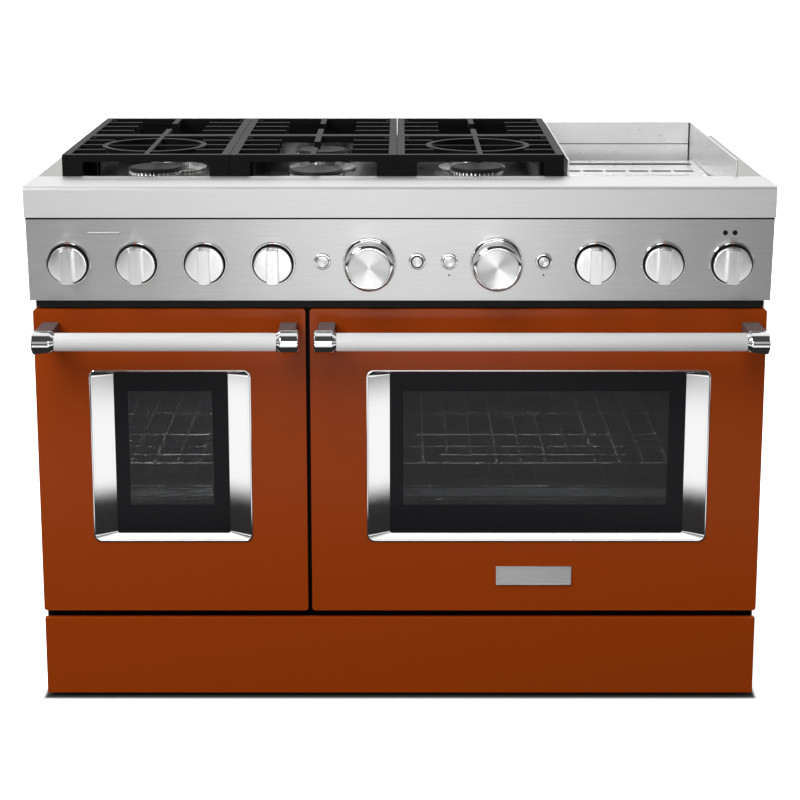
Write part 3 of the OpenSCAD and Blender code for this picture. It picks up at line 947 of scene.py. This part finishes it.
    def build(self) -> None:
        """Copy the controls to their places."""
        knob, dial = self.burner_knob(), self.oven_dial()
        knob_bezel, dial_bezel = self.bezel(*self.knob_bezel), self.bezel(*self.dial_bezel)
        for i in range(1, 8):
            seat = self.seat(f"burner_knob_{i}_turn")
            piece = place(copied(knob, f"burner_knob_{i}_finished"), seat)
            settle(piece, f"burner_knob_{i}", KNOB_STEEL, f"knob_{i}")
            ring = place(copied(knob_bezel, f"knob_bezel_{i}"), seat)
            settle(ring, BODY, CHROME, "control_bezels")
            self.inlay(block(f"knob_index_{i}", *self.index_mark_corners, 0.3), seat, INDEX_RED)
        for side in ("left", "right"):
            seat = self.seat(f"{side}_oven_dial_turn")
            piece = place(copied(dial, f"{side}_oven_dial_finished"), seat)
            settle(piece, f"{side}_oven_dial", KNOB_STEEL, f"oven_dial_{side}")
            ring = place(copied(dial_bezel, f"{side}_dial_base"), seat)
            settle(ring, BODY, CHROME, "control_bezels")
        for i in range(1, 5):
            self.push_button(i)
        seat = self.seat("burner_knob_1_turn")
        self.inlay(block("light_slit", *self.light_slit_corners, 0.2), seat, PALE_STRIP)
        # The black strip under the light strip is a painted shadow line
        self.inlay(block("light_slit_shadow", *self.slit_shadow_corners, 0.1, 1), seat, BLACK_STEEL)
        for pattern in (knob, dial, knob_bezel, dial_bezel):
            bpy.data.objects.remove(pattern)

    def push_button(self, number: int) -> None:
        """Model one push button and its bezel where the frame holds it.

        Args:
            number: The button's number, from the left.
        """
        low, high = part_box(f"button_{number}")
        axis = -Vector(self.unit.joints[f"push_button_{number}_press"]["axis"])
        seat = self.facing((low + high) / 2 + axis * self.button_rise * MM, axis)
        cap = paint(turned(f"push_button_{number}_finished", self.button_cap, sides=48), KNOB_STEEL)
        paint_where(cap, DIAL_FACE, lambda f: f.center.z > 2 * MM and f.center.xy.length < 8 * MM)
        if number in self.ringed_buttons:
            # These two carry a black ring inside their bezels
            paint_where(cap, BLACK_STEEL, lambda f: f.center.z > -8 * MM and f.center.xy.length > 8.4 * MM)
        place(cap, seat)
        settle(cap, f"push_button_{number}", KNOB_STEEL, f"button_{number}")
        ring = turned(f"button_bezel_{number}", self.button_ring, ring=True, sides=48)
        place(paint(ring, CHROME), seat)
        settle(ring, BODY, CHROME, "control_bezels")


@dataclass
class Door:
    """One oven door with its window, handle, liner and hinges, with sizes in millimetres.

    The trim's rim goes in from its outside by steps of an inset and a depth behind the trim's
    front. Its slope ends in a loop inside the glass's edge, a little above the trim's middle. The
    clear part of the pane is given by its distances from the glass's left, right, foot and head.
    """

    unit: Range
    side: str
    rim_steps: Profile = ((0.0, 1.3), (0.35, 0.4), (1.0, 0.0), (2.3, 0.0), (2.9, 0.5))
    rim_corner: float = 12.0
    slope_outer_corner: float = 10.5
    slope_inner_corner: float = 4.0
    slope_side: float = 38.6
    slope_head_and_foot: float = 19.4
    slope_lift: float = 2.2
    highlight_height: float = 16.0
    clear_left: float = 41.0
    clear_right: float = 46.0
    clear_foot: float = 55.6
    clear_head: float = 35.7
    border_depth: float = 4.6
    film_front: float = 5.2
    film_back: float = 5.5
    cap_profile: Profile = (
        (17.2, 0), (19.0, 0.6), (20, 2.0), (20, 28), (19.4, 30.5), (15.6, 36), (15.0, 36), (14.9, 34),
    )
    arm_along: tuple[float, float] = (5.0, 33.0)
    arm_front: float = 4.0
    arm_height: tuple[float, float] = (8.0, 19.0)
    arm_edge: float = 2.2

    def build(self) -> None:
        """Build the door's pieces."""
        side = self.side
        self.unit.softened(f"door_{side}_panel", 2.0, ENAMEL, segments=3, shortest=20)
        self.unit.softened(f"door_{side}_liner", 1.0, PORCELAIN, shortest=20)
        self.surround()
        self.unit.softened(f"door_{side}_glass", 0.5, GLASS, shortest=20)
        self.unit.dress(f"hinges_{side}", ZINC)
        self.glass_border()
        self.handle()

    def surround(self) -> None:
        """Model the polished window trim: a narrow rim, then mitred faces that slope in to the glass."""
        node = f"door_{self.side}_surround"
        low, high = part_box(node)
        glass_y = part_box(f"door_{self.side}_glass")[0].y - 0.1 * MM
        middle = (low + high) / 2
        size = (high - low) / MM
        inset, here = 1.0, high.y
        rim_size = (size.x - 2 * inset, size.z - 2 * inset)
        rim = rounded_loop("rim", middle, rim_size, self.rim_corner, here)
        with editing():
            for next_inset, depth in self.rim_steps:
                there = low.y + depth * MM
                next_size = (size.x - 2 * next_inset, size.z - 2 * next_inset)
                bpy.ops.mesh.extrude_region_move(TRANSFORM_OT_translate={"value": (0, there - here, 0)})
                bpy.ops.transform.resize(
                    value=(next_size[0] / rim_size[0], 1, next_size[1] / rim_size[1]),
                    center_override=(middle.x, there, middle.z),
                )
                rim_size, here = next_size, there
        outer = rounded_loop("outer", middle, rim_size, self.slope_outer_corner, here)
        inner_middle = middle + Vector((0, 0, self.slope_lift * MM))
        inner_size = (size.x - 2 * self.slope_side, size.z - self.slope_head_and_foot)
        inner = rounded_loop("inner", inner_middle, inner_size, self.slope_inner_corner, glass_y)
        slope = joined("slope", [outer, inner])
        with editing():
            bpy.ops.mesh.bridge_edge_loops()
        trim = recalculated(joined(node + "_finished", [rim, slope]))
        paint(smooth(trim, 24), CHROME)
        # Only the foot of the slope, low down and leaning between upright and level, takes the painted
        # highlight
        highlight_top = low.z + self.highlight_height * MM
        paint_where(
            trim, HIGHLIGHT_CHROME,
            lambda f: f.center.z < highlight_top and abs(f.normal.z) > 0.3 and f.normal.y * f.normal.z < -0.2,
        )
        settle(trim, f"{self.side}_door", CHROME, node)

    def glass_border(self) -> None:
        """Add a pale film, a painted reflection, and the black enamelled border, with a painted glow, inside
        the outer pane.
        """
        low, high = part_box(f"door_{self.side}_glass")
        clear_low = Vector((low.x + self.clear_left * MM, 0, low.z + self.clear_foot * MM))
        clear_high = Vector((high.x - self.clear_right * MM, 0, high.z - self.clear_head * MM))
        deselect()
        bpy.ops.mesh.primitive_plane_add(size=1, rotation=(math.pi / 2, 0, 0))
        border = bpy.context.object
        border.name = f"door_{self.side}_glass_border"
        border.scale = (high.x - low.x, high.z - low.z, 1)
        depth = low.y + self.border_depth * MM
        border.location = ((low.x + high.x) / 2, depth, (low.z + high.z) / 2)
        bpy.ops.object.transform_apply(location=True, rotation=True, scale=True)
        with editing(None):
            for point, normal in (
                ((clear_low.x, 0, 0), (1, 0, 0)), ((clear_high.x, 0, 0), (1, 0, 0)),
                ((0, 0, clear_low.z), (0, 0, 1)), ((0, 0, clear_high.z), (0, 0, 1)),
            ):
                bpy.ops.mesh.select_all(action="SELECT")
                bpy.ops.mesh.bisect(plane_co=point, plane_no=normal)
            bpy.ops.mesh.select_all(action="DESELECT")
        # Of the nine faces, the one in the middle is cut out
        for polygon in border.data.polygons:
            x, _, z = polygon.center
            polygon.select = clear_low.x < x < clear_high.x and clear_low.z < z < clear_high.z
        with editing(None):
            bpy.ops.mesh.delete(type="FACE")
        # The film's pale grey is a painted reflection over the oven
        film = block(
            f"door_{self.side}_glass_sheen_film",
            (clear_low.x, low.y + self.film_front * MM, clear_low.z),
            (clear_high.x, low.y + self.film_back * MM, clear_high.z),
            0.1, 1,
        )
        settle(paint(film, SHEEN_FILM), f"{self.side}_door", SHEEN_FILM)
        activate(border)
        thick = border.modifiers.new("thickness", "SOLIDIFY")
        thick.thickness = 0.3 * MM
        bpy.ops.object.modifier_apply(modifier=thick.name)
        # The border glows faintly though it is no lamp, a painted glow
        paint(border, GLOWING_BORDER)
        settle(border, f"{self.side}_door", GLOWING_BORDER)

    def handle(self) -> None:
        """Model the brushed bar and its two polished end brackets."""
        body = f"{self.side}_door"
        low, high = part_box(f"handle_{self.side}_bar")
        middle = (low + high) / 2
        length = (high.x - low.x) / MM
        radius = (high.z - low.z) / 2 / MM
        along = Matrix.Translation((low.x, middle.y, middle.z)) @ Matrix.Rotation(math.pi / 2, 4, "Y")
        bar = turned(f"handle_{self.side}_bar_finished", [(radius, 0), (radius, length)])
        place(paint(bar, BRUSHED_BAR), along)
        settle(bar, body, BRUSHED_BAR, f"handle_{self.side}_bar")
        outer_low, outer_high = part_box(f"handle_{self.side}_brackets")
        ends = [
            self.bracket(outer_low.x, 1, middle, outer_high.y),
            self.bracket(outer_high.x, -1, middle, outer_high.y),
        ]
        brackets = joined(f"handle_{self.side}_brackets_finished", ends)
        settle(brackets, body, CHROME, f"handle_{self.side}_brackets")

    def bracket(self, end_x: float, inward: int, axis: Vector, door_face: float) -> bpy.types.Object:
        """Model one end bracket: a turned cap round the bar and an arm back to the door.

        Args:
            end_x: Where the bar ends, in metres.
            inward: 1 if the bar runs on to higher X from here, or else -1.
            axis: A point on the bar's middle line.
            door_face: Y of the arm's back, in metres.

        Returns:
            The bracket.
        """
        cap = turned("cap", self.cap_profile)
        turn = Matrix.Rotation(inward * math.pi / 2, 4, "Y")
        place(cap, Matrix.Translation((end_x, axis.y, axis.z)) @ turn)
        near, far = (end_x + inward * along * MM for along in self.arm_along)
        below, above = self.arm_height
        arm = block(
            "arm",
            (min(near, far), axis.y - self.arm_front * MM, axis.z - below * MM),
            (max(near, far), door_face, axis.z + above * MM),
            self.arm_edge,
        )
        # The arm's dark grey is a painted reflection of the door
        return joined("bracket", [paint(cap, CHROME), paint(arm, SHADED_ARM_CHROME)])


@dataclass
class Cooktop:
    """Deck, burners, grates and the griddle.

    The sunken pan's faces lie below the ledge's top by its lip in millimetres, and inside its
    half width and its back edge in metres.
    """

    unit: Range
    pan_lip: float = 0.5
    pan_half: float = 0.58
    pan_back: float = 0.34
    wall_sheet: float = 3.0

    def build(self) -> None:
        """Round and dress the cooktop's pieces."""
        deck = self.unit.softened("cooktop_deck", 0.8, SATIN_STEEL, shortest=60)
        top, half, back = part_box("front_ledge")[1].z - self.pan_lip * MM, self.pan_half, self.pan_back
        # The sunken pan's faces take the steel painted darker, painted shade under the grates
        paint_where(
            deck, SHADED_PAN_STEEL, lambda f: f.center.z < top and abs(f.center.x) < half and f.center.y < back
        )
        # The splash walls and the flue grille take the steel painted lighter, a painted highlight
        self.unit.softened("griddle_surround", 0.8, HIGHLIGHT_WALL_STEEL, shortest=20)
        self.unit.softened("griddle_plate", 1.0, GRIDDLE_CHROME, shortest=20)
        self.unit.softened("flue_grille", 0.8, HIGHLIGHT_WALL_STEEL, shortest=12)
        self.griddle_lines()
        for column in ("left", "middle", "right"):
            self.unit.softened(f"grates_{column}", 1.6, CAST_IRON, shortest=4)
        self.unit.smoothed("burner_bases", ALLOY, 30)
        self.unit.softened("burner_caps", 1.0, CAP_ENAMEL, shortest=1)

    def griddle_lines(self) -> None:
        """Add the corner seam of the rear splash wall, and black strips of painted shade at its fold and
        under the flue.
        """
        low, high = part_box("griddle_surround")
        wall = self.wall_sheet * MM
        front, back = high.y - wall - 0.9 * MM, high.y - wall + 0.2 * MM
        flue_low, flue_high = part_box("flue_grille")
        # The fold line and the sheet under the flue are black strips of painted shade; the corner seam is a
        # dark joint
        lines = {
            "splash_fold_shade": ((low.x + wall, front, high.z - 42.6 * MM),
                            (high.x - wall, back, high.z - 41.2 * MM)),
            "splash_seam": ((high.x - wall - 2 * MM, front, low.z + 10 * MM),
                            (high.x - wall, back, high.z - 1 * MM)),
            "flue_shadow_sheet": ((flue_low.x + 6.5 * MM, flue_low.y + 7.5 * MM, flue_low.z + 0.5 * MM),
                          (flue_high.x - 6.5 * MM, flue_high.y - 6.5 * MM, flue_low.z + 2.5 * MM)),
        }
        for name, (start, end) in lines.items():
            settle(paint(block(name, start, end, 0.2, 1), BLACK_STEEL), BODY, BLACK_STEEL)


@dataclass
class Ovens:
    """Cavities, racks, burners, fans and lamps."""

    unit: Range

    def build(self) -> None:
        """Dress the ovens' pieces, which keep the frame's shapes."""
        for node, finish in {
            "oven_cavity_left": PORCELAIN,
            "oven_cavity_right": PORCELAIN,
            "fan_covers": PORCELAIN,
            "oven_lamps": LAMP,
        }.items():
            self.unit.dress(node, finish)
        for node in ("bake_burners", "fan_left", "fan_right"):
            self.unit.smoothed(node, ZINC)
        for side in ("left", "right"):
            for level in ("lower", "upper"):
                self.unit.smoothed(f"rack_{side}_{level}", WIRE)


@dataclass
class Badge:
    """The plain plate on the right door."""

    unit: Range

    def build(self) -> None:
        """Round the plate's edges."""
        self.unit.softened("badge", 0.6, BRUSHED_SHEET, shortest=5)


@dataclass(frozen=True)
class Softbox:
    """One rectangular light: where it hangs, what it faces, its size in metres and its power in watts."""

    name: str
    at: Place
    aim: Place
    size: tuple[float, float]
    power: float

    def build(self) -> None:
        """Hang the light."""
        deselect()
        bpy.ops.object.light_add(type="AREA", location=self.at)
        light = bpy.context.object
        light.name = self.name
        light.data.shape = "RECTANGLE"
        light.data.size, light.data.size_y = self.size
        light.data.energy = self.power
        direction = Vector(self.aim) - Vector(self.at)
        light.rotation_euler = direction.to_track_quat("-Z", "Y").to_euler()


SOFTBOXES = (
    Softbox("key", (-2.2, -2.6, 2.6), (0.0, -0.2, 0.7), (1.2, 1.2), 60.0),
    Softbox("front", (0.0, -4.4, 1.5), (0.0, -0.2, 0.7), (1.8, 1.0), 20.0),
    Softbox("low front", (0.0, -2.7, 0.25), (0.0, -0.3, 0.78), (0.9, 0.3), 4.0),
    Softbox("top rear", (0.0, 1.7, 2.5), (0.0, 0.0, 0.9), (2.4, 1.0), 10.0),
    Softbox("left oven light", (-0.379, 0.0, 0.612), (-0.379, 0.0, 0.2), (0.2, 0.3), 8.0),
    Softbox("right oven light", (0.2275, 0.0, 0.612), (0.2275, 0.0, 0.2), (0.45, 0.3), 8.0),
)

# The floor under the range is painted grey as its contact shadow, and it is blown out to white from just
# outside the range's feet
FLOOR_STEPS = (
    ("across", "ABSOLUTE", "x"),
    ("beside", Fade(0.604, 0.615), "across"),
    ("ahead", Fade(-0.3, -0.34), "y"),
    ("behind", Fade(0.37, 0.38), "y"),
    ("around", "MAXIMUM", "beside", "behind"),
    ("clear", "MAXIMUM", "around", "ahead"),
    ("glow", "MULTIPLY", "clear", 0.7),
    ("foot", Fade(-0.294, -0.306), "y"),
    ("pale", "MAXIMUM", "foot", "around"),
)

# What polished parts see: a dim floor near the range, a lit pool further out in front that fades
# to the sides, and a pale floor beside and behind
MIRRORED_STEPS = (
    ("across", "ABSOLUTE", "x"),
    ("lean", "MULTIPLY", "across", -0.17),
    ("skewed", "ADD", "y", "lean"),
    ("pool", Fade(-1.25, -1.43), "skewed"),
    ("beyond", Fade(-1.8, -2.3), "y"),
    ("off_middle", Fade(0.2, 0.95), "across"),
    ("aside", "MULTIPLY", "off_middle", "beyond"),
    ("level", "MULTIPLY_ADD", "aside", -0.95, 1.02),
    ("pool_side", Fade(3.8, 3.0), "across"),
    ("pool_level", "MULTIPLY", "level", "pool_side"),
    ("front", "MULTIPLY_ADD", "pool", "pool_level", 0.025),
    ("off_side", Fade(0.75, 1.2), "across"),
    ("off_back", Fade(0.5, 0.9), "y"),
    ("outside", "MAXIMUM", "off_side", "off_back"),
    ("rearward", Fade(-0.25, 0.15), "y"),
    ("rear", "MULTIPLY", "outside", "rearward"),
    ("rear_level", "MULTIPLY", "rear", 0.5),
    ("level_all", "MAXIMUM", "front", "rear_level"),
)

# The room by direction: white behind and overhead, a half-lit band near the floor, dim in front
ROOM_STEPS = (
    ("behind", Fade(-0.35, 0.05), "y"),
    ("above", Fade(0.9, 0.98), "z"),
    ("band", Fade(0.32, 0.2), "z"),
    ("low", "MULTIPLY", "band", 0.45),
    ("upper", "MAXIMUM", "behind", "above"),
    ("pale", "MAXIMUM", "upper", "low"),
    ("glow", "MULTIPLY_ADD", "pale", 0.9, 0.06),
)


@dataclass
class Studio:
    """Floor, room, lights and camera."""

    lens: float = 88.97
    distance: float = 3.153
    height: float = 1.358
    pitch: float = 11.94
    shift: float = -0.12
    front_y: float = -0.3125
    floor_size: float = 24.0
    floor_shadow: str = "383838"
    floor_white: str = "f4f4f4"
    sun_towards: Place = (-0.3, -0.45, 1.0)
    sun_angle: float = 40.0
    sun_strength: float = 2.6

    def build(self) -> None:
        """Set the stage."""
        self.floor()
        self.world()
        self.sun()
        for softbox in SOFTBOXES:
            softbox.build()
        self.camera()
        bpy.context.scene.view_settings.view_transform = "Standard"

    def floor(self) -> None:
        """Lay a white floor with a painted grey shadow under the range, whose reflections are a dim room with
        a lit pool.
        """
        deselect()
        bpy.ops.mesh.primitive_plane_add(size=self.floor_size)
        floor = bpy.context.object
        floor.name = "floor"
        material = bpy.data.materials.new("Pale studio floor")
        material.use_nodes = True
        tree = material.node_tree
        tree.nodes.clear()
        near = calculated(tree, "Object", FLOOR_STEPS)
        # The grey near and under the range is a painted shadow
        shade = add_node(
            tree,
            "ShaderNodeMix",
            {"Factor": near["pale"], MIX_A: linear(self.floor_shadow), MIX_B: linear(self.floor_white)},
            data_type="RGBA",
        )
        white = add_node(tree, "ShaderNodeBsdfDiffuse", {"Color": shade.outputs[MIX_RESULT]})
        glow = add_node(tree, "ShaderNodeEmission", {"Color": (1, 1, 1, 1), "Strength": near["glow"]})
        lit = add_node(tree, "ShaderNodeAddShader", {0: white.outputs[0], 1: glow.outputs[0]})
        level = calculated(tree, "Object", MIRRORED_STEPS)["level_all"]
        mirrored = add_node(tree, "ShaderNodeEmission", {"Color": (1, 1, 1, 1), "Strength": level})
        split_by_ray(tree, mirrored.outputs[0], lit.outputs[0], "ShaderNodeOutputMaterial")
        floor.data.materials.append(material)

    def world(self) -> None:
        """Light the room softly, with a plain white backdrop."""
        world = bpy.data.worlds.new("studio")
        bpy.context.scene.world = world
        world.use_nodes = True
        tree = world.node_tree
        tree.nodes.clear()
        glow = calculated(tree, "Generated", ROOM_STEPS)["glow"]
        room = add_node(tree, "ShaderNodeBackground", {"Color": (1, 1, 1, 1), "Strength": glow})
        backdrop = add_node(tree, "ShaderNodeBackground", {"Color": (1, 1, 1, 1), "Strength": 1.0})
        split_by_ray(tree, room.outputs[0], backdrop.outputs[0], "ShaderNodeOutputWorld")

    def sun(self) -> None:
        """Hang a broad, distant light."""
        deselect()
        towards = Vector(self.sun_towards)
        bpy.ops.object.light_add(type="SUN", location=towards * 4)
        light = bpy.context.object
        light.name = "daylight"
        light.data.energy = self.sun_strength
        light.data.angle = math.radians(self.sun_angle)
        # Only the matt surfaces are lit by it, so no round highlight sits on the polished ones
        light.visible_glossy = False
        light.rotation_euler = (-towards).to_track_quat("-Z", "Y").to_euler()

    def camera(self) -> None:
        """Stand the camera in front of the range, above its top."""
        deselect()
        bpy.ops.object.camera_add(
            location=(0, self.front_y - self.distance, self.height),
            rotation=(math.radians(90 - self.pitch), 0, 0),
        )
        camera = bpy.context.object
        camera.data.lens = self.lens
        camera.data.sensor_width = 36
        camera.data.shift_y = self.shift
        camera.data.clip_end = 60
        bpy.context.scene.camera = camera


def main() -> None:
    """Build the range's looks around the frame."""
    logging.basicConfig(level=logging.INFO, format="%(name)s %(message)s")
    unit = Range(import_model())
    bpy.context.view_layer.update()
    Studio().build()
    Shell(unit).build()
    Knobs(unit).build()
    Door(unit, "left").build()
    Door(unit, "right").build()
    Cooktop(unit).build()
    Ovens(unit).build()
    Badge(unit).build()
    deselect()


if __name__ == "__main__":
    main()
